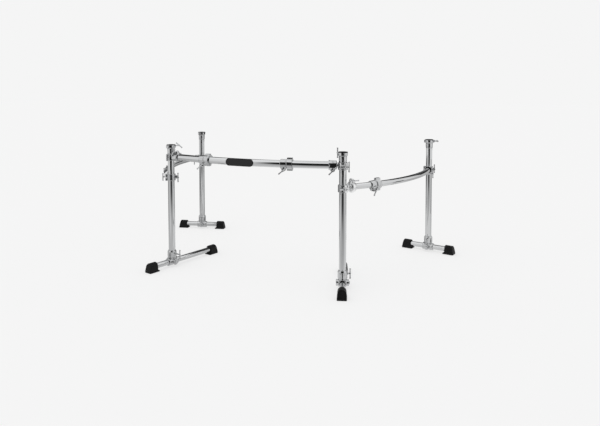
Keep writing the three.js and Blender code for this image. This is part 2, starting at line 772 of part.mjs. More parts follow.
function legs() {
  const group = new THREE.Group();
  const frontX = frontSpan / 2;
  const rearX = frontX + sideSpan * Math.sin(sideSplay);
  const rearY = sideSpan * Math.cos(sideSplay);
  const boots = ["outer", "inner"];
  const rear = { ahead: rearFootReach, behind: rearFootReach, boots, handleTurn: rearCollarHandle };
  const across = Math.PI / 2;
  group.add(placed(leg("front_left", {
    ahead: frontLeftFootAhead, behind: frontLeftFootBehind, boots,
    footTurn: across - frontToe, backedOut: frontLeftBackedOut,
    collarTurn: frontLeftCollarTurn, handleTurn: frontLeftCollarHandle, stem: frontLeftCollarStem,
  }), -frontX, 0, 0));
  group.add(placed(leg("front_right", {
    ahead: frontRightFootAhead, behind: frontRightFootBehind, boots, footTurn: across + frontToe,
    collarTurn: frontRightCollarTurn, handleTurn: frontRightCollarHandle,
  }), frontX, 0, 0));
  group.add(placed(leg("rear_left", {
    ...rear, footTurn: rearToe, collarTurn: rearLeftCollarTurn,
  }), -rearX, rearY, 0));
  group.add(placed(leg("rear_right", {
    ...rear, footTurn: -rearToe, collarTurn: rearRightCollarTurn, boots: [...boots].reverse(),
  }), rearX, rearY, 0));
  return group;
}

// The rack stands with the middle of its footprint over the origin.
const rack = new THREE.Group();
rack.name = "drum_rack_frame";
rack.add(frontFrame(), sideFrame("left", -1), sideFrame("right", 1), legs());
rack.updateMatrixWorld(true);
const footprint = new THREE.Box3().setFromObject(rack, true).getCenter(new THREE.Vector3());
rack.position.set(-footprint.x, -footprint.y, 0);

export default rack;
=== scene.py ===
# %% [markdown]
# # A drum rack frame
# Four chromed posts carry a bowed front bar and two bowed side bars. Cast clamps join them, and every
# post stands on a straight foot tube with a rubber boot on each end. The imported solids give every
# piece its place, and this lesson dresses them with the shapes and finishes of the real rack.

# %% Load the solids
import math
from contextlib import contextmanager

import bpy
from mathutils import Matrix, Vector


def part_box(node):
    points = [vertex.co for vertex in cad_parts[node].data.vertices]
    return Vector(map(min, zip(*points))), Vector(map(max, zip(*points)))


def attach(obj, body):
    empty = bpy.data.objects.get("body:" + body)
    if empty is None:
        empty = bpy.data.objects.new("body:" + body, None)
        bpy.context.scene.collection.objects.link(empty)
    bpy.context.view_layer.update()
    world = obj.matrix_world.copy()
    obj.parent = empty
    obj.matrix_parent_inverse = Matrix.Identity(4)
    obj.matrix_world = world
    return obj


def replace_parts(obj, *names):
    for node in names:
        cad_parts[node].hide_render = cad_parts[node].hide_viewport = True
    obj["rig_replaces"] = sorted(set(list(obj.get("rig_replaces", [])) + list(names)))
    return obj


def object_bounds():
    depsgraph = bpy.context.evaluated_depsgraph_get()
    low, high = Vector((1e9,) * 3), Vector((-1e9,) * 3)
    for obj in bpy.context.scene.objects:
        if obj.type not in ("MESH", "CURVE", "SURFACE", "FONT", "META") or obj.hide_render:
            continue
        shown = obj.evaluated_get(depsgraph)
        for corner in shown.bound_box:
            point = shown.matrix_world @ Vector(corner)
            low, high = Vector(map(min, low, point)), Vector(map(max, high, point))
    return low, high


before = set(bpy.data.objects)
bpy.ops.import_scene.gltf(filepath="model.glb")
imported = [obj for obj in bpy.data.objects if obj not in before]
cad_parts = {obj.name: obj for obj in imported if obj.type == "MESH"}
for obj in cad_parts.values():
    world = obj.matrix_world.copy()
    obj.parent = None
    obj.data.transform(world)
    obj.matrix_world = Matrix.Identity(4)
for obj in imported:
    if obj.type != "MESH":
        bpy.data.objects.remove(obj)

solids_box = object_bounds()
box_sides = [round(side, 4) for side in solids_box[1] - solids_box[0]]
print("solids", len(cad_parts), "in a box of", box_sides)

# %% [markdown]
# ## The camera
# The photograph was taken from in front of the right-hand post, a little over the height of the rack,
# with the camera tipped slightly down. Its place and lens follow from where the four posts, their tops
# and their feet lie in the picture, so it is given by those numbers and not moved by eye.

# %% Put the camera where the photographer stood
mm = 0.001
camera_place = (1.396, -3.2406, 1.0570)
camera_yaw = math.radians(21.18)
camera_dip = math.radians(2.72)
camera_lens = 34.93
camera_shift = -0.1667


def added(operator, name, **settings):
    """Adds an object with one of Blender's operators, and names it."""
    bpy.ops.object.select_all(action="DESELECT")
    operator(**settings)
    bpy.context.object.name = name
    return bpy.context.object


camera = added(bpy.ops.object.camera_add, "camera", location=camera_place,
               rotation=(math.pi / 2 - camera_dip, 0, camera_yaw))
camera.data.lens = camera_lens
camera.data.shift_y = camera_shift
bpy.context.scene.camera = camera
print("camera at", camera_place, "lens", camera_lens)

# %% [markdown]
# ## The layout
# A rack is set out by a few sizes: how far apart the posts stand, how far each bar bows, and how high
# the bars run. Everything else hangs on these.

# %% Sizes of the rack
front_span = 1042 * mm
side_span = 916 * mm
side_splay = math.radians(19.7)
front_bow = 80 * mm
side_bow = 104 * mm
front_line = -368.74 * mm
post_top = 714 * mm
front_bar_height = 644.5 * mm
side_bar_height = 528 * mm
post_radius = 19.05 * mm
front_bar_radius = 19.05 * mm
side_bar_radius = 15.9 * mm
foot_radius = 15.9 * mm
tube_wall = 1.8 * mm
foot_height = 28.5 * mm
fit = 0.3 * mm
slack = 0.15 * mm


def spot(x, y, z, turn=0.0):
    """A place in the rack, turned about the upright."""
    return Matrix.Translation((x, y, z)) @ Matrix.Rotation(turn, 4, "Z")


def arc_over(span, bow, bend):
    """The arc of a bowed bar, which leaves a post along +X and bends towards +Y or -Y."""
    radius = span * span / (8 * bow) + bow / 2
    half = math.asin(span / 2 / radius)
    return {"radius": radius, "half": half, "length": 2 * half * radius, "bend": bend}


def on_arc(arc, along):
    """The place and heading of a point on the arc."""
    angle = along / arc["radius"]
    sideways = arc["bend"] * arc["radius"] * (1 - math.cos(angle))
    return spot(arc["radius"] * math.sin(angle), sideways, 0, arc["bend"] * angle)


hands = {"left": -1, "right": 1}
front_arc = arc_over(front_span, front_bow, 1)
front_start = spot(-front_span / 2, front_line, front_bar_height, -front_arc["half"])
side_arcs = {}
side_starts = {}
for hand, sign in hands.items():
    side_arcs[hand] = arc_over(side_span, side_bow, sign)
    heading = math.pi / 2 - sign * (side_splay + side_arcs[hand]["half"])
    side_starts[hand] = spot(sign * front_span / 2, front_line, side_bar_height, heading)
rear_x = front_span / 2 + side_span * math.sin(side_splay)
rear_y = front_line + side_span * math.cos(side_splay)
post_places = {
    "front_left": (-front_span / 2, front_line),
    "front_right": (front_span / 2, front_line),
    "rear_left": (-rear_x, rear_y),
    "rear_right": (rear_x, rear_y),
}
low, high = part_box("front_bar")
print("front bar height differs by mm", round(((low + high).z / 2 - front_bar_height) / mm, 3))

# %% [markdown]
# ## Working by hand, in code
# Blender's operators act on what is selected, so each step starts by selecting one piece only. A few
# short helpers cover the work of this rack: turning a round part, adding a block, joining parts into
# one rough casting, softening it, cutting it, and putting it in its place.

# %% Select, place and copy
weld_distance = 0.001 * mm


def only(*chosen):
    """Selects these pieces and nothing else."""
    bpy.ops.object.select_all(action="DESELECT")
    for one in chosen:
        one.select_set(True)
    bpy.context.view_layer.objects.active = chosen[0]


def settled(piece, place):
    """Puts a piece in its place and works the place into its mesh."""
    only(piece)
    piece.matrix_world = place @ piece.matrix_world
    bpy.ops.object.transform_apply()
    return piece


def copied(piece, name):
    """A copy with a mesh of its own."""
    only(piece)
    bpy.ops.object.duplicate(linked=False)
    twin = bpy.context.object
    twin.name = name
    return twin


def discard(*used_up):
    for one in used_up:
        bpy.data.objects.remove(one)


@contextmanager
def editing(piece, kind="VERT", wanted=None):
    """Opens a piece for editing, with all of it selected or only the faces or edges that are wanted."""
    only(piece)
    bpy.ops.object.mode_set(mode="EDIT")
    bpy.ops.mesh.select_mode(type=kind)
    bpy.ops.mesh.select_all(action="DESELECT" if wanted else "SELECT")
    if wanted:
        bpy.ops.object.mode_set(mode="OBJECT")
        for element in piece.data.polygons if kind == "FACE" else piece.data.edges:
            element.select = wanted(element)
        bpy.ops.object.mode_set(mode="EDIT")
    yield
    bpy.ops.mesh.select_mode(type="VERT")
    bpy.ops.object.mode_set(mode="OBJECT")


def renormalled(piece):
    """Merges doubles and turns all faces outwards."""
    with editing(piece):
        bpy.ops.mesh.remove_doubles(threshold=weld_distance)
        bpy.ops.mesh.normals_make_consistent(inside=False)
    return piece


def modified(piece, kind, **settings):
    """Adds a modifier, sets it and applies it."""
    only(piece)
    bpy.ops.object.modifier_add(type=kind)
    modifier = piece.modifiers[-1]
    for setting, value in settings.items():
        setattr(modifier, setting, value)
    bpy.ops.object.modifier_apply(modifier=modifier.name)
    return piece


# %% Round parts
small_sides = 32
round_sides = 48
casting_sides = 72
bore_sides = 96
along_x = Matrix.Rotation(math.pi / 2, 4, "Y")
stood_up = Matrix.Rotation(math.pi / 2, 4, "X")


def circle(name, radius, height=0.0, sides=casting_sides, fill="NOTHING"):
    return added(bpy.ops.mesh.primitive_circle_add, name, vertices=sides, radius=radius, fill_type=fill,
                 location=(0, 0, height))


def extruded(move):
    bpy.ops.mesh.extrude_region_move(TRANSFORM_OT_translate={"value": move})


def turned(name, profile, sides=round_sides):
    """A part turned on a lathe about Z, from (height, radius) pairs that start and end with a flat face."""
    height, radius = profile[0]
    piece = circle(name, radius, height, sides, "NGON")
    with editing(piece):
        for next_height, next_radius in profile[1:]:
            extruded((0, 0, next_height - height))
            growth = next_radius / radius
            bpy.ops.transform.resize(value=(growth, growth, 1), center_override=(0, 0, next_height))
            height, radius = next_height, next_radius
    bpy.ops.object.transform_apply()
    return renormalled(piece)


def scaled(outline, start=0.0):
    """A profile from pairs in millimetres, with its heights counted from a start."""
    return [(start + height * mm, radius * mm) for height, radius in outline]


def two_ended(upper):
    """The profile of a part with two like ends, from the profile of its upper half."""
    return [(-height, radius) for height, radius in reversed(upper)] + upper


def rod(start, end, radius, end_radius=None, sides=round_sides):
    """A round bar or cone between two points."""
    start, end = Vector(start), Vector(end)
    axis = end - start
    upright = turned("rod", [(0, radius), (axis.length, end_radius or radius)], sides)
    return settled(upright, Matrix.Translation(start) @ axis.to_track_quat("Z", "Y").to_matrix().to_4x4())


# %% Blocks
def block(low_corner, high_corner):
    """A box between two opposite corners."""
    low_corner, high_corner = Vector(low_corner), Vector(high_corner)
    sides = [abs(side) for side in high_corner - low_corner]
    middle = (low_corner + high_corner) / 2
    piece = added(bpy.ops.mesh.primitive_cube_add, "block", size=1, location=middle, scale=sides)
    bpy.ops.object.transform_apply()
    return piece


def slab(length, width, corner, height, steps=6, top_share=1):
    """An upright block with rounded corners. Its top may be smaller than its bottom."""
    piece = circle("slab", corner, sides=4 * steps, fill="NGON")
    settled(piece, Matrix.Rotation(math.pi / 4 / steps, 4, "Z"))
    spread = Vector((length / 2 - corner, width / 2 - corner, 0))
    for point in piece.data.vertices:
        point.co.x += math.copysign(spread.x, point.co.x)
        point.co.y += math.copysign(spread.y, point.co.y)
    with editing(piece):
        extruded((0, 0, height))
        bpy.ops.transform.resize(value=(top_share, top_share, 1), center_override=(0, 0, height))
    return renormalled(piece)


# %% [markdown]
# ## Castings
# Zinc castings have no sharp inner corners: the metal flows, and polishing softens every edge. Joining
# the rough blocks and rods, remeshing them as one skin and smoothing that skin gives such soft fillets
# everywhere at once. The bores and slits are machined afterwards, so they are cut last and stay crisp.

# %% Cast, machine and smooth
skin_size = 1.1 * mm
soft_passes = 9
softness = 0.5
crisp_angle = math.radians(34)
bevel_angle = math.radians(35)
far = 120 * mm
overrun = 1.2 * mm


def cast(name, parts, grain=skin_size, passes=soft_passes):
    """Joins rough parts into one soft-edged casting."""
    only(*parts)
    bpy.ops.object.join()
    piece = bpy.context.object
    piece.name = name
    modified(piece, "REMESH", mode="VOXEL", voxel_size=grain)
    return modified(piece, "SMOOTH", factor=softness, iterations=passes)


def machined(piece, cutters):
    """Cuts bores and slits, and uses up the cutters."""
    for cutter in cutters:
        modified(piece, "BOOLEAN", operation="DIFFERENCE", solver="MANIFOLD", object=cutter)
        discard(cutter)
    return piece


def smoothed(piece, angle=crisp_angle):
    only(piece)
    bpy.ops.object.shade_smooth_by_angle(angle=angle)
    return piece


def eased(piece, width, steps=2, angle=bevel_angle):
    """Takes the sharp edges off."""
    return modified(piece, "BEVEL", width=width, segments=steps, limit_method="ANGLE", angle_limit=angle)


# %% [markdown]
# ## Finishes
# Each finish is a small tree of shader nodes. Shader sums are written as plain arithmetic: a small class
# wraps a socket, so that adding or multiplying two of them adds the Math nodes.

# %% Shader arithmetic
class Signal:
    """A number that changes over a surface."""

    def __init__(self, tree, socket):
        self.tree = tree
        self.socket = socket

    def math(self, operation, *values):
        node = self.tree.nodes.new("ShaderNodeMath")
        node.operation = operation
        for slot, value in zip(node.inputs, values):
            if isinstance(value, Signal):
                self.tree.links.new(value.socket, slot)
            else:
                slot.default_value = value
        return Signal(self.tree, node.outputs[0])

    def __add__(self, other):
        return self.math("ADD", self, other)

    __radd__ = __add__

    def __sub__(self, other):
        return self.math("SUBTRACT", self, other)

    def __rsub__(self, other):
        return self.math("SUBTRACT", other, self)

    def __mul__(self, other):
        return self.math("MULTIPLY", self, other)

    __rmul__ = __mul__

    def __truediv__(self, other):
        return self.math("DIVIDE", self, other)

    def __abs__(self):
        return self.math("ABSOLUTE", self)


def blended(share, first, second):
    return first + share * (second - first)


# %% Nodes of a finish
class Finish:
    """The nodes of one material or of the world."""

    def __init__(self, owner):
        owner.use_nodes = True
        self.tree = owner.node_tree
        self.tree.nodes.clear()

    def node(self, kind, settings=None, sockets=None):
        """Adds a node, with its settings and with the values or links of its sockets."""
        node = self.tree.nodes.new(kind)
        for setting, value in (settings or {}).items():
            setattr(node, setting, value)
        for socket, value in (sockets or {}).items():
            if isinstance(value, Signal):
                self.tree.links.new(value.socket, node.inputs[socket])
            else:
                node.inputs[socket].default_value = value
        return node

    def signal(self, node, output=0):
        return Signal(self.tree, node.outputs[output])

    def place(self):
        return self.signal(self.node("ShaderNodeTexCoord"), "Object")

    def parts_of(self, vector):
        """The x, y and z of a vector."""
        split = self.node("ShaderNodeSeparateXYZ", sockets={"Vector": vector})
        return [self.signal(split, axis) for axis in range(3)]

    def noise(self, place, scale, detail, roughness):
        """Soft patches, which get smaller as the scale grows."""
        return self.signal(self.node("ShaderNodeTexNoise", {"noise_dimensions": "3D"}, {
            "Vector": place, "Scale": scale, "Detail": detail, "Roughness": roughness}))

    def eased_step(self, value, edges, start=0.0, end=1.0):
        """Runs smoothly from start to end while the value goes from one edge to the other."""
        sockets = {"Value": value, "From Min": edges[0], "From Max": edges[1], "To Min": start, "To Max": end}
        return self.signal(self.node("ShaderNodeMapRange", {"interpolation_type": "SMOOTHSTEP"}, sockets))

    def between(self, value, edges, blur):
        """Is 1 between the two edges and fades to 0 past them."""
        rising = self.eased_step(value, (edges[0] - blur, edges[0] + blur))
        falling = self.eased_step(value, (edges[1] - blur, edges[1] + blur), 1.0, 0.0)
        return rising * falling

    def mixed_shade(self, share, first, second):
        sockets = {0: share, 6: first, 7: second}
        return self.signal(self.node("ShaderNodeMix", {"data_type": "RGBA"}, sockets), 2)

    def mixed_surface(self, share, first, second):
        return self.signal(self.node("ShaderNodeMixShader", sockets={0: share, 1: first, 2: second}))

    def bump(self, height, strength, depth):
        sockets = {"Strength": strength, "Distance": depth, "Height": height}
        return self.signal(self.node("ShaderNodeBump", sockets=sockets))

    def surface(self, kind, **sockets):
        """A shader whose sockets are named with an underscore for each space."""
        named = {socket.replace("_", " "): value for socket, value in sockets.items()}
        return self.signal(self.node(kind, sockets=named))

    def show(self, surface, output="ShaderNodeOutputMaterial"):
        self.node(output, sockets={"Surface": surface})


def new_finish(name):
    """A new material, with the tree of its finish."""
    material = bpy.data.materials.new(name)
    return material, Finish(material)


def grey(level, blue_lean=0.0):
    """A shade of grey, which may lean a little towards blue."""
    return (level, level + blue_lean / 2, level + blue_lean, 1)


# %% [markdown]
# ### Polished chrome tube
# Chrome is a mirror that gives back a little over half of the light. On tube it is plated over polished
# steel, so the mirror is nearly perfect. What the eye still catches is a faint haze where hands and
# clamps have been, and a very slight waviness of the wall.

# %% Chrome on tube
haze_edges = (0.45, 0.75)
speck_scale = 900


def chrome_finish(name, shade, haze_shade, polish, haze, haze_scale, wave_scale, wave_depth):
    """Chrome of one polish. The haze lies in soft patches, and the surface waves a little."""
    material, finish = new_finish(name)
    place = finish.place()
    rubbed = finish.eased_step(finish.noise(place, haze_scale, detail=3, roughness=0.6), haze_edges)
    specks = finish.noise(place, speck_scale, detail=2, roughness=0.5)
    waves = finish.noise(place, wave_scale, detail=1, roughness=0.4)
    finish.show(finish.surface(
        "ShaderNodeBsdfPrincipled", Base_Color=finish.mixed_shade(rubbed, shade, haze_shade), Metallic=1,
        Roughness=polish + rubbed * haze + specks * (haze / 4),
        Normal=finish.bump(waves, strength=1, depth=wave_depth)))
    return material


tube_chrome = chrome_finish("chrome_tube", (0.55, 0.556, 0.56, 1), (0.52, 0.525, 0.53, 1),
                            polish=0.04, haze=0.05, haze_scale=9, wave_scale=9, wave_depth=0.02 * mm)
print("finish", tube_chrome.name, "nodes", len(tube_chrome.node_tree.nodes))

# %% [markdown]
# ### Chrome on castings
# A casting is polished before it is plated, but never as flat as tube. Its surface waves a little more
# and its mirror is a trifle softer, which breaks reflections into small bright and dark patches. The
# clamps with ball ends are plated satin, with a mirror that blurs what it shows, and their paler shade
# is painted light that stands in for the bright reflections on them.

# %% Chrome on castings
casting_skin = {"haze_scale": 60, "wave_scale": 75, "wave_depth": 0.3 * mm}
cast_chrome = chrome_finish("cast_chrome", grey(0.5, 0.01), grey(0.34, 0.01),
                            polish=0.05, haze=0.06, **casting_skin)
# Satin chrome: a blurred mirror, and a paler shade that is painted light for the bright reflections.
satin_chrome_painted_light = chrome_finish("satin_chrome_painted_light", grey(0.8, 0.01), grey(0.7, 0.01),
                             polish=0.34, haze=0.08, **casting_skin)
print("finishes", cast_chrome.name, satin_chrome_painted_light.name, "nodes", len(cast_chrome.node_tree.nodes))

# %% [markdown]
# ### Rubber
# The boots are moulded black rubber: very dark, dull, with the fine grain of the mould and a faint bloom
# of dust in patches. The bushes and the plate are a black plastic with more shine and a shallower grain.

# %% Rubber and black plastic
dust_scale = 45
dust_edges = (0.4, 0.75)
grain_strength = 0.6


def moulded_finish(name, shade, dusty_shade, shine, roughness, dusty_roughness, grain, depth):
    """A moulded black finish with a fine grain and a trace of dust."""
    material, finish = new_finish(name)
    place = finish.place()
    dust = finish.eased_step(finish.noise(place, dust_scale, detail=4, roughness=0.6), dust_edges)
    pebbles = finish.noise(place, grain, detail=2, roughness=0.5)
    finish.show(finish.surface(
        "ShaderNodeBsdfPrincipled", Base_Color=finish.mixed_shade(dust, shade, dusty_shade),
        Specular_IOR_Level=shine, Roughness=blended(dust, roughness, dusty_roughness),
        Normal=finish.bump(pebbles, grain_strength, depth)))
    return material


rubber = moulded_finish("rubber", (0.0035, 0.0035, 0.0037, 1), (0.0065, 0.0065, 0.0068, 1),
                        shine=0.16, roughness=0.5, dusty_roughness=0.7, grain=1400, depth=0.12 * mm)
gloss_black = moulded_finish("gloss_black", (0.004, 0.004, 0.0043, 1), (0.006, 0.006, 0.0064, 1),
                             shine=0.3, roughness=0.16, dusty_roughness=0.26, grain=260, depth=0.02 * mm)
print("finishes", rubber.name, gloss_black.name)

# %% [markdown]
# ## Handing over a piece
# Every piece gets one finish and rides on one body, so that it moves with the joints. Most stand for a
# solid of the frame. The few small ones that don't, such as bushes and pins, are extra detail.

# %% Finish a piece and tie it to its body
pieces = []


def fitted(piece, material, body, *nodes):
    """Gives a finished piece its finish, and ties it to the body that it moves with."""
    piece.data.materials.clear()
    piece.data.materials.append(material)
    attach(piece, body)
    if nodes:
        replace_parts(piece, *nodes)
    pieces.append(piece)


def fitted_copy(pattern, name, place, material, body, *nodes):
    fitted(settled(copied(pattern, name), place), material, body, *nodes)


# %% [markdown]
# ## The tubes
# A bowed bar is a straight tube rolled to an arc. Spinning a circle about the arc's centre gives just
# that, and a wall of steel is then grown inwards, so that the open ends show a real tube.

# %% Straight and bowed tube
bend_steps = 80
clamp_wall = 6 * mm
neck_length = 6 * mm
bar_inset = 3 * mm
ring_radius = post_radius + fit + clamp_wall
socket_start = ring_radius + neck_length
socket_length = 42 * mm
socket_middle = socket_start + socket_length / 2
bar_start = socket_start + bar_inset


def hollow(piece):
    modified(renormalled(piece), "SOLIDIFY", thickness=tube_wall, offset=-1, use_even_offset=True)
    return smoothed(piece)


def straight_tube(name, radius, length, place):
    """An open tube along its own Z, from the start of its place."""
    piece = circle(name, radius)
    with editing(piece):
        extruded((0, 0, length))
    return settled(hollow(piece), place)


def bowed_tube(name, arc, radius, place):
    """An open tube along an arc, from inside one bar clamp to inside the other."""
    piece = settled(circle(name, radius), on_arc(arc, bar_start) @ along_x)
    sweep = (arc["length"] - 2 * bar_start) / arc["radius"]
    with editing(piece):
        bpy.ops.mesh.spin(steps=bend_steps, angle=sweep, center=(0, arc["bend"] * arc["radius"], 0),
                          axis=(0, 0, -arc["bend"]))
    return settled(hollow(piece), place)


front_bar = bowed_tube("front_bar_tube", front_arc, front_bar_radius, front_start)
fitted(front_bar, tube_chrome, "front_frame", "front_bar")
for hand in hands:
    side_bar = bowed_tube(f"{hand}_side_bar_tube", side_arcs[hand], side_bar_radius, side_starts[hand])
    fitted(side_bar, tube_chrome, f"{hand}_side", f"{hand}_side_bar")
for piece in pieces:
    node = piece["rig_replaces"][0]
    low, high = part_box(node)
    corners = [piece.matrix_world @ Vector(corner) for corner in piece.bound_box]
    print(node, "off by mm", [round((corners[0][axis] - low[axis]) / mm, 2) for axis in range(3)])

# %% [markdown]
# ## Legs
# Each leg is a post with a cast collar on top, and a base clamp that holds the post upright on its foot
# tube. The four feet point in different directions, so a foot is made about its own axis and turned.

# %% Where the legs and feet go
socket_bottom = 49.7 * mm
rod_depth = 26 * mm
front_toe = math.radians(16)
rear_toe = math.radians(13)
rear_reach = 171.5 * mm
boot_length = 58 * mm
boot_grip = 40 * mm
short_stem = 20 * mm
outer_first = ("outer", "inner")
legs = {
    "front_left": {"turn": math.pi / 2 - front_toe, "ahead": 178 * mm, "behind": 351 * mm,
                   "boots": outer_first, "collar_turn": math.radians(77),
                   "collar_stem": 34 * mm, "handle": math.radians(61)},
    "front_right": {"turn": math.pi / 2 + front_toe, "ahead": 188.6 * mm, "behind": 305 * mm,
                    "boots": outer_first, "collar_turn": math.radians(140),
                    "collar_stem": short_stem, "handle": 0.0},
    "rear_left": {"turn": rear_toe, "ahead": rear_reach, "behind": rear_reach,
                  "boots": outer_first, "collar_turn": math.radians(120),
                  "collar_stem": short_stem, "handle": math.radians(90)},
    "rear_right": {"turn": -rear_toe, "ahead": rear_reach, "behind": rear_reach,
                   "boots": ("inner", "outer"), "collar_turn": math.radians(14),
                   "collar_stem": short_stem, "handle": math.radians(90)},
}


def at_leg(name, height=0.0, turn=0.0):
    """A place on the axis of a post."""
    return spot(*post_places[name], height, turn)


tube_inset = boot_length - boot_grip
post_bottom = socket_bottom + fit
for name, leg in legs.items():
    post = straight_tube(f"{name}_post_tube", post_radius, post_top - rod_depth - post_bottom,
                         at_leg(name, post_bottom))
    fitted(post, tube_chrome, f"{name}_leg", f"{name}_post")
    start = at_leg(name, foot_height, leg["turn"]) @ spot(tube_inset - leg["ahead"], 0, 0) @ along_x
    foot = straight_tube(f"{name}_foot", foot_radius, leg["ahead"] + leg["behind"] - 2 * tube_inset, start)
    fitted(foot, tube_chrome, f"{name}_foot", f"{name}_foot_tube")
print("tubes", len(pieces))

# %% [markdown]
# ## Collars
# The collar on a post's top takes the rod of an accessory arm. It is a cast sleeve with a heavier rim,
# two flat pads on the rim for the clamping bolt, and a black nylon bush inside that grips the rod.

# %% Cast collars with their nylon bushes
collar_height = 55 * mm
rim_height = 20 * mm
rim_radius = 26 * mm
rim_slope = 1.2 * mm
sleeve_radius = 21.6 * mm
sleeve_foot = 20.8 * mm
shrink = 0.05 * mm
pad_reach = 31 * mm
pad_width = 17 * mm
slit_width = 2.4 * mm
rod_bore = 13.2 * mm
bush_wall = 3.2 * mm
bush_flange = 3.4 * mm
bush_flange_radius = 25.2 * mm
bush_bevel = 0.5 * mm
bush_radius = rod_bore + bush_wall - slack
collar_bottom = post_top - collar_height
rim_bottom = post_top - rim_height
rim_top = post_top - bush_flange
past_top = post_top + overrun


def collar_casting():
    sleeve = turned("sleeve", [
        (collar_bottom, sleeve_foot), (rim_bottom - rim_slope, sleeve_radius),
        (rim_bottom + rim_slope, rim_radius), (rim_top, rim_radius)], casting_sides)
    pads = block((-pad_reach, -pad_width / 2, rim_bottom), (pad_reach, pad_width / 2, rim_top))
    casting = cast("collar", [sleeve, pads])
    shoulder = rod((0, 0, collar_bottom - overrun), (0, 0, post_top - rod_depth), post_radius - shrink,
                   sides=casting_sides)
    bore = rod((0, 0, collar_bottom), (0, 0, past_top), rod_bore + bush_wall, sides=casting_sides)
    slit = block((rod_bore, -slit_width / 2, rim_bottom - overrun), (pad_reach * 2, slit_width / 2, past_top))
    return smoothed(machined(casting, [shoulder, bore, slit]))


def nylon_bush():
    bush = turned("bush", [
        (post_top - rod_depth, bush_radius), (rim_top + slack, bush_radius),
        (rim_top + slack, bush_flange_radius), (post_top - slack, bush_flange_radius)], bore_sides)
    machined(bush, [rod((0, 0, collar_bottom), (0, 0, past_top), rod_bore, sides=casting_sides)])
    return smoothed(eased(bush, bush_bevel))


# %% Fit the collars
collar = collar_casting()
bush = nylon_bush()
for name, leg in legs.items():
    place = at_leg(name, turn=leg["collar_turn"])
    fitted_copy(collar, f"{name}_collar", place, cast_chrome, f"{name}_leg", f"{name}_post")
    fitted_copy(bush, f"{name}_bush", place, gloss_black, f"{name}_leg")
discard(collar, bush)
print("collars with bushes", len(legs))

# %% [markdown]
# ## T-bolts
# Two dozen T-bolts close every clamp of the rack. Each has a washer face, a tapering shoulder, a plain
# stem and a crossbar with swollen ends. They differ only in the length of stem and thread, so one
# function turns them all. Small turned shapes are listed as pairs of height and radius in millimetres.

# %% The T-bolt
thread_radius = 3.5 * mm
thread_point = 0.6 * mm
washer_seat = 0.2 * mm
washer_and_shoulder = [(0.2, 6.2), (0.5, 6.5), (1.7, 6.5), (2.1, 6.1), (5.2, 3.9)]
eye = [(-7, 3.8), (-4.6, 4.9), (2.6, 4.9), (4, 3.3)]
handle_length = 55 * mm
handle_end = [(-7, 3.3), (-5, 4.2), (-2, 4.2), (-0.7, 3.5), (0, 2.2)]


def t_bolt(name, shank, stem, handle_turn=0.0):
    """A T-bolt along +X with its seat at the origin."""
    thread = [(-shank, thread_radius - thread_point), (-shank + thread_point, thread_radius),
              (washer_seat, thread_radius)]
    screw = turned(name, thread + scaled(washer_and_shoulder) + scaled(eye, stem), small_sides)
    settled(screw, along_x)
    crossbar = turned("crossbar", two_ended(scaled(handle_end, handle_length / 2)), small_sides)
    settled(crossbar, Matrix.Translation((stem, 0, 0)) @ Matrix.Rotation(-handle_turn, 4, "X"))
    modified(screw, "BOOLEAN", operation="UNION", solver="MANIFOLD", object=crossbar)
    discard(crossbar)
    return smoothed(screw)


# %% Fit the collar bolts
for name, leg in legs.items():
    seat = at_leg(name, post_top - rim_height / 2, leg["collar_turn"]) @ spot(pad_reach, 0, 0)
    bolt = t_bolt(f"{name}_collar_t_bolt", pad_reach - rod_bore - fit, leg["collar_stem"], leg["handle"])
    fitted(settled(bolt, seat), cast_chrome, f"{name}_collar_bolt", f"{name}_collar_bolt")
print("collar bolts", len(legs))

# %% [markdown]
# ## Bar clamps
# Six clamps hold the bars to the posts. Each is a hinged ring: the half with the neck and the split
# socket for the bar stays on the bar, and the other half, the jaw, swings open on a pin. A T-bolt
# through the two ears draws the halves together, and another one closes the split socket.

# %% Sizes of the bar clamps
clamp_height = 38 * mm
clamp_rise = 14.2 * mm
ring_middle = clamp_rise - clamp_height / 2
split_gap = 1.2 * mm
ear_thickness = 9 * mm
ear_reach = 14 * mm
ear_height = 20 * mm
bolt_offset = ring_radius + ear_reach / 2
knuckle_radius = 6.5 * mm
knuckle_reach = clamp_height / 6
knuckle_gap = 0.2 * mm
hinge_clearance = knuckle_radius + 0.6 * mm
pin_radius = 3 * mm
pin_y = ring_radius + 3 * mm
neck_radius = 12 * mm
neck_flare = 3 * mm
neck_overlap = 4 * mm
socket_wall = 4.5 * mm
socket_slope = 3 * mm
socket_lip = 5 * mm
lip_rise = 2 * mm
cheek_height = 27 * mm
hub_radius = 31 * mm
hub_shares = [(0.0, 0.5), (0.08, 0.68), (0.2, 0.88), (0.32, 0.97), (0.44, 1.0),
              (0.58, 0.96), (0.72, 0.87), (0.86, 0.75), (1.0, 0.65)]
lug_width = 17 * mm
lug_length = 24 * mm
lug_reach = 13 * mm
lug_root = 8 * mm
socket_stem = 20 * mm
jaw_stem = 22 * mm


def clamp_ring():
    low_end = (0, 0, ring_middle - clamp_height / 2)
    return rod(low_end, (0, 0, ring_middle + clamp_height / 2), ring_radius, sides=casting_sides)


def ear(sign, side):
    """One ear of the ring, with a rounded end."""
    half = ear_height / 2
    end = side * (ring_radius + ear_reach - half)
    near, away = sign * split_gap / 2, sign * (split_gap / 2 + ear_thickness)
    plate = block((near, side * (ring_radius - clamp_wall), ring_middle - half),
                  (away, end, ring_middle + half))
    return [plate, rod((near, end, ring_middle), (away, end, ring_middle), half)]


def knuckle(sign, side, reach):
    """A barrel of the hinge, and the web that ties it to the ring."""
    y = -side * pin_y
    inner = -side * (post_radius + clamp_wall / 2)
    barrel = rod((0, y, ring_middle - reach), (0, y, ring_middle + reach), knuckle_radius)
    web = block((0, y, ring_middle - reach), (sign * knuckle_radius, inner, ring_middle + reach))
    return [barrel, web]


# %% [markdown]
# ### Bodies
# The neck grows out of the ring into the socket. Most sockets have flat cheeks, and those at the front
# of the side bars are ball-shaped. The bores, the seats of the hinge and the slits are cut last.

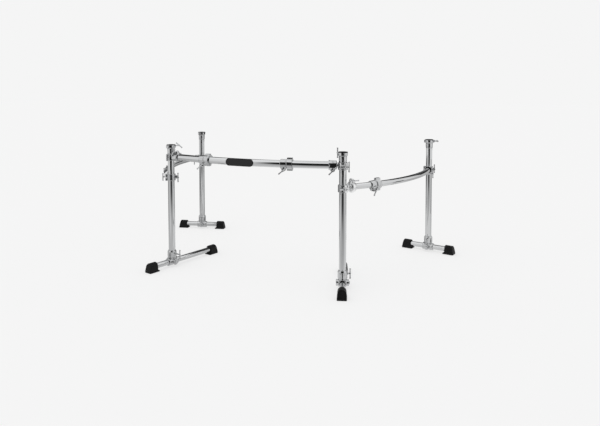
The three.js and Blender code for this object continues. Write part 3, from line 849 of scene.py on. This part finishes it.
# %% Sockets for the bars
def socket_parts(bar_radius, ball, lugs):
    """The socket, about the bar's own axis with its middle at the origin."""
    half = socket_length / 2
    cheeks = []
    if ball:
        outer = hub_radius
        steps = [((along - 0.5) * socket_length, share * hub_radius) for along, share in hub_shares]
    else:
        outer = bar_radius + fit + socket_wall
        steps = [(-half, outer - socket_slope), (-half + socket_slope, outer), (half - socket_lip, outer),
                 (half - socket_lip, outer + lip_rise), (half, outer + lip_rise)]
        cheeks = [block((-half, -outer, -cheek_height / 2), (half, outer, cheek_height / 2))]
    barrel = settled(turned("socket", steps, casting_sides), along_x)
    crown_z = lugs * (outer + lug_reach - lug_length / 2)
    lug = block((-lug_length / 2, -lug_width / 2, lugs * (outer - lug_root)),
                (lug_length / 2, lug_width / 2, crown_z))
    crown = rod((0, -lug_width / 2, crown_z), (0, lug_width / 2, crown_z), lug_length / 2)
    return [barrel, lug, crown, *cheeks], outer


# %% Bodies of the bar clamps
def clamp_body(name, bar_radius, arc, side, lugs, ball):
    """The half of a bar clamp that stays on the bar. The post lies along Z and the bar along +X."""
    on_bar = on_arc(arc, socket_middle)
    parts, outer = socket_parts(bar_radius, ball, lugs)
    parts = [settled(part, on_bar) for part in parts]
    neck = rod((0, 0, 0), (socket_start + neck_overlap, 0, 0), neck_radius + neck_flare, neck_radius)
    parts += [clamp_ring(), neck, *ear(1, side), *knuckle(1, side, knuckle_reach - knuckle_gap)]
    casting = cast(name, parts)
    y = -side * pin_y
    bore_start = bar_start - socket_middle
    behind = block((-far, y + side * hinge_clearance, -far), (split_gap / 2, side * far, far))
    past_hinge = block((-far, -far, -far), (-hinge_clearance, far, far))
    post_bore = rod((0, 0, -far), (0, 0, far), post_radius + slack, sides=bore_sides)
    bar_bore = rod((bore_start, 0, 0), (far, 0, 0), bar_radius + slack, sides=bore_sides)
    slit = block((bore_start, -slit_width / 2, 0), (far, slit_width / 2, lugs * far))
    slot_half = thread_radius + slack
    bolt_slot = block((-overrun, side * (bolt_offset - slot_half), ring_middle - slot_half),
                      (far, side * far, ring_middle + slot_half))
    seats = []
    for end in (1, -1):
        start_z = ring_middle + end * knuckle_reach
        end_z = ring_middle + end * (clamp_height / 2 + overrun)
        seats.append(rod((0, y, start_z), (0, y, end_z), hinge_clearance))
    pin_hole = rod((0, y, -far), (0, y, far), pin_radius + slack / 2)
    cutters = [behind, past_hinge, post_bore, settled(bar_bore, on_bar), settled(slit, on_bar), bolt_slot]
    return smoothed(machined(casting, [*cutters, *seats, pin_hole])), outer


# %% [markdown]
# ### Jaws
# A jaw is the other half of the ring. Its hinge has two barrels, above and below the one of the body,
# and its ear has a round hole for the bolt where the body has an open slot.

# %% Jaws of the bar clamps
def clamp_jaw(name, side):
    """The half of the ring that swings open."""
    parts = [clamp_ring(), *ear(-1, side), *knuckle(-1, side, clamp_height / 2)]
    casting = cast(name, parts)
    y = -side * pin_y
    bolt_y = side * bolt_offset
    ahead = block((-split_gap / 2, y + side * hinge_clearance, -far), (far, side * far, far))
    past_hinge = block((hinge_clearance, -far, -far), (far, far, far))
    post_bore = rod((0, 0, -far), (0, 0, far), post_radius + slack, sides=bore_sides)
    gap = rod((0, y, ring_middle - knuckle_reach), (0, y, ring_middle + knuckle_reach), hinge_clearance)
    pin_hole = rod((0, y, -far), (0, y, far), pin_radius + slack / 2)
    bolt_hole = rod((-far, bolt_y, ring_middle), (far, bolt_y, ring_middle), thread_radius + slack)
    return smoothed(machined(casting, [ahead, past_hinge, post_bore, gap, pin_hole, bolt_hole]))


# %% [markdown]
# ### Assembly
# The pin, the jaw bolt and a jaw for each side are made once and copied. A clamp at the far end of a bar
# is the same clamp seen from that end, so the bar's arc is turned round for it.

# %% Fit the six bar clamps
pin_head = [(-0.1, 3), (-0.1, 4.6), (0.9, 4.3), (1.2, 3)]
bolt_spare = 3 * mm


def facing_back(arc, start):
    """The place and the arc for the clamp at the far end of a bar."""
    return start @ on_arc(arc, arc["length"]) @ spot(0, 0, 0, math.pi), {**arc, "bend": -arc["bend"]}


jaws = {side: clamp_jaw(f"jaw_{side}", side) for side in (1, -1)}
hinge_pin = smoothed(turned("hinge_pin", two_ended(scaled(pin_head, clamp_height / 2)), small_sides))
jaw_bolt = t_bolt("jaw_bolt", ear_thickness * 2 + split_gap + bolt_spare, jaw_stem)


def bar_clamp(name, end, bar_radius, body, side, lugs, bolt_side, handle, ball=False):
    """Fits a bar clamp to the end of a bar, with its jaw, its pin and its bolts."""
    place, arc = end
    casting, outer = clamp_body(f"{name}_clamp_body", bar_radius, arc, side, lugs, ball)
    # Ball-end clamps get the satin chrome, whose paler shade is painted light.
    fitted(settled(casting, place), satin_chrome_painted_light if ball else cast_chrome, body, f"{name}_clamp")
    bolt_z = lugs * (outer + lug_reach / 3)
    seat = on_arc(arc, socket_middle) @ spot(0, bolt_side * lug_width / 2, bolt_z, bolt_side * math.pi / 2)
    socket_bolt = t_bolt(f"{name}_socket_t_bolt", lug_width + fit, socket_stem, handle)
    fitted(settled(socket_bolt, place @ seat), cast_chrome, body)
    pin_place = place @ spot(0, -side * pin_y, ring_middle)
    fitted_copy(hinge_pin, f"{name}_hinge_pin", pin_place, cast_chrome, body)
    fitted_copy(jaws[side], f"{name}_jaw_half", place, cast_chrome, f"{name}_jaw", f"{name}_jaw")
    jaw_seat = place @ spot(-split_gap / 2 - ear_thickness, side * bolt_offset, ring_middle, math.pi)
    fitted_copy(jaw_bolt, f"{name}_jaw_t_bolt", jaw_seat, cast_chrome, f"{name}_jaw_bolt", f"{name}_jaw_bolt")


bar_clamp("front_left", (front_start, front_arc), front_bar_radius, "front_frame",
          side=1, lugs=1, bolt_side=-1, handle=math.radians(35))
bar_clamp("front_right", facing_back(front_arc, front_start), front_bar_radius, "front_frame",
          side=1, lugs=-1, bolt_side=1, handle=math.radians(45))
for hand, sign in hands.items():
    arc, start = side_arcs[hand], side_starts[hand]
    bar_clamp(f"{hand}_side_front", (start, arc), side_bar_radius, f"{hand}_side",
              side=-1, lugs=1, bolt_side=-sign, handle=math.radians(90), ball=True)
    bar_clamp(f"{hand}_side_rear", facing_back(arc, start), side_bar_radius, f"{hand}_side",
              side=1, lugs=-1, bolt_side=sign, handle=0.0)
discard(*jaws.values(), hinge_pin, jaw_bolt)
print("pieces with the bar clamps", len(pieces))

# %% [markdown]
# ## Base clamps
# A base clamp is one heavy casting: an upright socket for the post, which tapers into a saddle that
# grips the foot tube. The saddle is split, and a nut on its round boss draws it closed.

# %% Cast base clamps
base_width = 52 * mm
base_bolt_height = 77.4 * mm
drum_outline = [(50, 23.5), (54, 26), (87, 26), (93.4, 22), (95.4, 22)]
saddle_radius = foot_radius + fit + clamp_wall
saddle_length = 68 * mm
boss_radius = 17 * mm
boss_reach = 34 * mm
bolt_pad_radius = 9 * mm
base_passes = 6
nut_outline = [(0, 8), (0.6, 9), (3.2, 9), (4, 8)]
nut_edge = 0.4 * mm


def base_casting():
    drum = turned("drum", [(foot_height, saddle_radius), *scaled(drum_outline)], casting_sides)
    bolt_pad = rod((0, 0, base_bolt_height), (0, -base_width / 2, base_bolt_height), bolt_pad_radius)
    half = saddle_length / 2
    saddle = rod((-half, 0, foot_height), (half, 0, foot_height), saddle_radius, sides=casting_sides)
    boss = rod((0, -boss_reach, foot_height), (0, boss_reach, foot_height), boss_radius)
    casting = cast("base_casting", [drum, bolt_pad, saddle, boss], passes=base_passes)
    post_socket = rod((0, 0, socket_bottom), (0, 0, far), post_radius + slack, sides=bore_sides)
    tube_bore = rod((-far, 0, foot_height), (far, 0, foot_height), foot_radius + slack, sides=bore_sides)
    split = block((-far, -far, foot_height - split_gap / 2), (far, 0, foot_height + split_gap / 2))
    bolt_hole = rod((0, 0, base_bolt_height), (0, -far, base_bolt_height), thread_radius + slack)
    return smoothed(machined(casting, [post_socket, tube_bore, split, bolt_hole]))


def base_nut():
    nut = turned("nut", scaled(nut_outline, boss_reach), 6)
    settled(nut, spot(0, 0, foot_height) @ stood_up)
    return smoothed(eased(nut, nut_edge))


# %% Fit the base clamps
base = base_casting()
nut = base_nut()
base_shank = base_width / 2 - post_radius - fit
base_stem = 14 * mm
backed_out = {"front_left": 28 * mm}
for name, leg in legs.items():
    place = at_leg(name, turn=leg["turn"])
    fitted_copy(base, f"{name}_base_casting", place, cast_chrome, f"{name}_base", f"{name}_base_clamp")
    fitted_copy(nut, f"{name}_base_nut", place, cast_chrome, f"{name}_base")
    bolt = t_bolt(f"{name}_base_t_bolt", base_shank, base_stem + backed_out.get(name, 0.0))
    seat = place @ spot(0, -base_width / 2, base_bolt_height, -math.pi / 2)
    fitted(settled(bolt, seat), cast_chrome, f"{name}_base_bolt", f"{name}_base_bolt")
discard(base, nut)
print("base clamps", len(legs))

# %% [markdown]
# ## Boots
# The rubber boot is a slanting hood over the end of the foot tube. Its sole runs on a little under the
# tube as a thin tongue, so that the tube never touches the floor.

# %% Moulded boots
boot_top_length = 48 * mm
boot_height = 53 * mm
boot_width = 51 * mm
boot_top_width = 41 * mm
boot_edge = 5 * mm
boot_lip = 12 * mm
boot_shoulder = 19 * mm
boot_bevel = 3 * mm
boot_bevel_angle = math.radians(40)
boot_crisp_angle = math.radians(50)
boot_grain = 1 * mm
boot_passes = 5
sole_corner = 6 * mm
sole_overlap = 6 * mm
sole_top_share = 0.98
shoulder_steps = 10
facing_up = 0.9


def boot_hood():
    """The hood of a boot, narrower at its top and with round shoulders."""
    hood = block((-boot_length, -boot_width / 2, boot_edge), (0, boot_width / 2, boot_height))
    with editing(hood, "FACE", lambda face: face.normal.z > facing_up):
        bpy.ops.transform.resize(value=(boot_top_length / boot_length, boot_top_width / boot_width, 1),
                                 center_override=(-boot_length, 0, boot_height))

    def is_shoulder(edge):
        first, second = [hood.data.vertices[index].co for index in edge.vertices]
        return min(first.z, second.z) > boot_height - overrun and abs(first.y - second.y) < overrun

    with editing(hood, "EDGE", is_shoulder):
        bpy.ops.mesh.bevel(offset=boot_shoulder, segments=shoulder_steps, affect="EDGES")
    return eased(hood, boot_bevel, 3, boot_bevel_angle)


def boot_casting():
    """The boot for the +X end of a foot tube, with its tip at the origin."""
    hood = boot_hood()
    sole_length = boot_length + boot_lip
    sole = slab(sole_length, boot_width, sole_corner, boot_edge + sole_overlap, top_share=sole_top_share)
    settled(sole, spot(-sole_length / 2, 0, 0))
    casting = cast("boot", [hood, sole], boot_grain, boot_passes)
    bore = rod((boot_grip - boot_length + fit, 0, foot_height), (-far, 0, foot_height), foot_radius + slack,
               sides=casting_sides)
    trim = block((-far, -far, boot_edge), (-boot_length, far, far))
    return smoothed(machined(casting, [bore, trim]), boot_crisp_angle)


# %% Fit the boots
boot = boot_casting()
for name, leg in legs.items():
    ends = (spot(-leg["ahead"], 0, 0, math.pi), spot(leg["behind"], 0, 0))
    for which, end in zip(leg["boots"], ends):
        place = at_leg(name, turn=leg["turn"]) @ end
        fitted_copy(boot, f"{name}_{which}_boot_cover", place, rubber, f"{name}_foot", f"{name}_{which}_boot")
discard(boot)
print("boots", 2 * len(legs))

# %% [markdown]
# ## Accessory clamps
# Four clamps ride along the bars and hold arms for drums and cymbals. Each is a split ring that grips
# the bar, beside a heavier ring with flat pads over and under it, which takes the arm.

# %% Clamps that travel along the bars
traveller_length = 32 * mm
traveller_passes = 7
holder_length = 30 * mm
holder_wall = 9 * mm
holder_gap = 3 * mm
holder_reach = 34 * mm
holder_width = 18 * mm


def traveller(name, arc, start, along, bar_radius, bolt_side, handle):
    """Fits an accessory clamp at a distance along a bar."""
    outer = bar_radius + fit + clamp_wall
    holder = bar_radius + fit + holder_wall
    left = -traveller_length - holder_gap / 2
    middle = left + traveller_length / 2
    right = holder_gap / 2
    round_end = lug_length / 2
    lug_bottom = -outer - lug_reach
    crown_z = lug_bottom + round_end
    bolt_z = lug_bottom + lug_reach / 3
    parts = [
        rod((left, 0, 0), (-holder_gap / 2, 0, 0), outer, sides=casting_sides),
        rod((-holder_gap, 0, 0), (holder_gap, 0, 0), outer - holder_gap / 2, sides=casting_sides),
        rod((right, 0, 0), (right + holder_length, 0, 0), holder, sides=casting_sides),
        block((right, -holder_width / 2, -holder_reach),
              (right + holder_length, holder_width / 2, holder_reach)),
        block((middle - round_end, -lug_width / 2, crown_z),
              (middle + round_end, lug_width / 2, lug_root - outer)),
        rod((middle, -lug_width / 2, crown_z), (middle, lug_width / 2, crown_z), round_end),
    ]
    casting = cast(f"{name}_clamp_body", parts, passes=traveller_passes)
    bore = rod((-far, 0, 0), (far, 0, 0), bar_radius + fit, sides=bore_sides)
    slit = block((left - overrun, -slit_width / 2, -far), (-holder_gap / 2, slit_width / 2, 0))
    bolt_hole = rod((middle, -far, bolt_z), (middle, far, bolt_z), thread_radius + slack)
    smoothed(machined(casting, [bore, slit, bolt_hole]))
    place = start @ on_arc(arc, along)
    fitted(settled(casting, place), cast_chrome, f"{name}_clamp", f"{name}_clamp")
    seat = place @ spot(middle, bolt_side * lug_width / 2, bolt_z, bolt_side * math.pi / 2)
    bolt = t_bolt(f"{name}_t_bolt", lug_width, socket_stem, handle)
    fitted(settled(bolt, seat), cast_chrome, f"{name}_bolt", f"{name}_bolt")


# %% Fit the accessory clamps
front_travellers = {"front_left": -255 * mm, "front_right": 235 * mm}
side_traveller = 205 * mm
front_middle = front_arc["length"] / 2
for name, offset in front_travellers.items():
    traveller(f"{name}_accessory", front_arc, front_start, front_middle + offset, front_bar_radius,
              bolt_side=-1, handle=math.radians(50))
for hand, sign in hands.items():
    traveller(f"{hand}_side_accessory", side_arcs[hand], side_starts[hand], side_traveller, side_bar_radius,
              bolt_side=-sign, handle=math.radians(28))
print("pieces with the accessory clamps", len(pieces))

# %% [markdown]
# ## The name plate
# A gloss black plate with round ends sits on the front bar. The real one carries a name, and this one is
# left bare. A raised rim frames its face, and its back wraps the bar.

# %% Bare plate on the front bar
plate_length = 163 * mm
plate_height = 40 * mm
plate_depth = 10 * mm
plate_front = -22.05 * mm
plate_offset = -27 * mm
plate_bevel = 0.7 * mm
end_flat = 0.3 * mm
end_steps = 16
rim_width = 2 * mm
rim_rise = 0.6 * mm


def bare_plate():
    """The plate, standing in front of a bar along X."""
    plate = slab(plate_length, plate_height, plate_height / 2 - end_flat, plate_depth, end_steps)
    eased(plate, plate_bevel, 3)
    upward = [face for face in plate.data.polygons if face.normal.z > facing_up]
    front = max(upward, key=lambda face: face.area).index
    with editing(plate, "FACE", lambda face: face.index == front):
        bpy.ops.mesh.inset(thickness=rim_width)
        bpy.ops.mesh.inset(thickness=rim_rise / 2, depth=-rim_rise)
    settled(plate, spot(0, plate_front + plate_depth, 0) @ stood_up)
    bore = rod((-far, 0, 0), (far, 0, 0), front_bar_radius + slack, sides=bore_sides)
    return smoothed(machined(plate, [bore]))


plate = bare_plate()
plate.name = "bare_name_plate"
settled(plate, front_start @ on_arc(front_arc, front_middle + plate_offset))
fitted(plate, gloss_black, "front_frame", "name_plate")
print("plate", [round(side / mm, 1) for side in plate.dimensions])

# %% [markdown]
# ## Floor and light
# Chrome shows its surroundings and nothing else, so the room is part of the look. The rack stands on a
# pale floor in even light. Mirror rays meet a painted dome: a dark opening round the camera, a wide
# bright ceiling, pale walls and a dark corner at the left. Black cards stand where tube shows dark lines.
# The floor itself looks white from the camera, but the chrome sees painted light and shade on it:
# brighter in front and inside the rack, darker behind and at the left, and a painted shadow round the
# camera's foot.

# %% Pale floor
page_white = 0.913
floor_size = 60
floor_drop = 0.2 * mm
shadow_share = 0.3
# Painted light and shade on the floor that only mirror rays see, with a painted shadow round the camera's
# foot.
painted_base_light = 0.78
painted_front_light, front_edges = 0.27, (-0.8, -1.6)
painted_rack_light, rack_edges_x, rack_edges_y = 0.22, (-0.45, -0.05), (-0.75, -0.35)
painted_rear_shade, rear_edges = 0.4, (0.2, 1.2)
painted_left_shade, left_edges = 0.3, (-0.9, -1.9)
painted_camera_shadow, painted_camera_shadow_edges = 0.96, (3.05, 0.85)
camera_foot = (camera_place[0] - 0.12, camera_place[1])

floor = added(bpy.ops.mesh.primitive_plane_add, "floor", size=floor_size, location=(0, 0, -floor_drop))
floor_material, paint = new_finish("pale_floor")
floor_x, floor_y, _ = paint.parts_of(paint.place())
foot_x, foot_y = floor_x - camera_foot[0], floor_y - camera_foot[1]
from_camera = foot_x.math("SQRT", foot_x * foot_x + foot_y * foot_y)
inside_rack = paint.eased_step(floor_y, rack_edges_y) * paint.eased_step(floor_x, rack_edges_x)
painted_floor_light = painted_base_light + painted_front_light * paint.eased_step(floor_y, front_edges) + painted_rack_light * inside_rack
painted_floor_light = painted_floor_light - painted_rear_shade * paint.eased_step(floor_y, rear_edges)
painted_floor_light = painted_floor_light - painted_left_shade * paint.eased_step(floor_x, left_edges)
# Painted shadow round the camera's foot, on the floor as mirror rays see it.
painted_floor_reflection = painted_floor_light * (1 - painted_camera_shadow * paint.eased_step(from_camera, painted_camera_shadow_edges))
pale = paint.surface("ShaderNodeBsdfDiffuse", Color=grey(page_white))
flat_pale = paint.surface("ShaderNodeEmission", Color=grey(page_white))
# For mirror rays the floor glows with this painted light and shade.
painted_reflection_glow = paint.surface("ShaderNodeEmission", Color=grey(1), Strength=painted_floor_reflection)
to_the_eye = paint.mixed_surface(shadow_share, flat_pale, pale)
mirror_ray = paint.signal(paint.node("ShaderNodeLightPath"), "Is Glossy Ray")
paint.show(paint.mixed_surface(mirror_ray, to_the_eye, painted_reflection_glow))
floor.data.materials.append(floor_material)

# %% Dome that only mirror rays see
dome_radius = 4.3
window_heading = math.radians(20)
side_wall, back_wall, back_edges = 1.1, 0.62, (100, 135)
ceiling, ceiling_edges = 1.3, (43, 50)
zenith, zenith_edges = 0.85, (74, 86)
corner, corner_bearings, corner_heights = 0.05, (-168, -98), (32, 54)
window, window_bearings, window_top = 0.02, (-36, 34), (44, 53)
corner_blur, corner_rim_blur, window_blur = 6, 3, 8

dome = added(bpy.ops.mesh.primitive_uv_sphere_add, "dome", segments=64, ring_count=32, radius=dome_radius)
bpy.ops.object.shade_smooth()
dome_material, sky = new_finish("dome_light")
dome_x, dome_y, dome_z = sky.parts_of(sky.place())
ahead = (dome_x * math.sin(window_heading) - dome_y * math.cos(window_heading)) / dome_radius
across = (dome_x * math.cos(window_heading) + dome_y * math.sin(window_heading)) / dome_radius
elevation = dome_z.math("ARCSINE", dome_z / dome_radius) * (180 / math.pi)
bearing = across.math("ARCTAN2", across, ahead) * (180 / math.pi)
in_corner = sky.between(bearing, corner_bearings, corner_blur)
in_corner = in_corner * sky.between(elevation, corner_heights, corner_rim_blur)
in_window = sky.between(bearing, window_bearings, window_blur)
in_window = in_window * sky.eased_step(elevation, window_top, 1.0, 0.0)
light = blended(sky.eased_step(abs(bearing), back_edges), side_wall, back_wall)
light = blended(sky.eased_step(elevation, ceiling_edges), light, ceiling)
light = blended(in_corner, light, corner)
light = blended(sky.eased_step(elevation, zenith_edges), light, zenith)
light = blended(in_window, light, window)
sky.show(sky.surface("ShaderNodeEmission", Color=grey(1), Strength=light))
dome.data.materials.append(dome_material)

# %% Black cards at the sides and behind
card_shade = 0.05
cards = {
    "left_card": {"place": (-1.9, -0.8), "heading": -157, "width": 1.3, "bottom": 0.0, "top": 0.7},
    "right_card": {"place": (1.95, 0.62), "heading": 96, "width": 0.3, "bottom": 0.0, "top": 0.45},
    "rear_card": {"place": (0.18, 0.9), "heading": 0, "width": 2.25, "bottom": 0.6, "top": 1.52},
}
card_material, card_paint = new_finish("black_card")
card_paint.show(card_paint.surface("ShaderNodeEmission", Color=grey(card_shade)))
mirror_only = [dome]
for card_name, sizes in cards.items():
    middle = (*sizes["place"], (sizes["bottom"] + sizes["top"]) / 2)
    turn = (math.pi / 2, 0, math.radians(sizes["heading"]))
    card = added(bpy.ops.mesh.primitive_plane_add, card_name, size=1, location=middle, rotation=turn)
    bpy.ops.transform.resize(value=(sizes["width"], sizes["top"] - sizes["bottom"], 1), orient_type="LOCAL")
    bpy.ops.object.transform_apply()
    card.data.materials.append(card_material)
    mirror_only.append(card)
for prop in mirror_only:
    prop.visible_camera = False
    prop.visible_diffuse = False
    prop.visible_shadow = False
    prop.visible_transmission = False

# %% Even room light and one soft lamp
room = 0.86
lamp_strength = 0.5
lamp_spread = math.radians(50)
lamp_tilt = (math.radians(18), math.radians(-14), 0)

world = bpy.data.worlds.new("room")
bpy.context.scene.world = world
air = Finish(world)
seen = air.signal(air.node("ShaderNodeLightPath"), "Is Camera Ray")
glow = air.surface("ShaderNodeBackground", Color=grey(1), Strength=blended(seen, room, page_white))
air.show(glow, "ShaderNodeOutputWorld")
lamp = added(bpy.ops.object.light_add, "soft_lamp", type="SUN", location=(0, 0, 3), rotation=lamp_tilt)
lamp.data.energy = lamp_strength
lamp.data.angle = lamp_spread
lamp.visible_glossy = False
bpy.context.scene.view_settings.view_transform = "Standard"
print("room", room, "lamp", lamp_strength)

# %% Measure and finish
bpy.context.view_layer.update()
triangles = 0
for piece in pieces:
    piece.data.calc_loop_triangles()
    triangles += len(piece.data.loop_triangles)
print("pieces", len(pieces), "triangles", triangles)
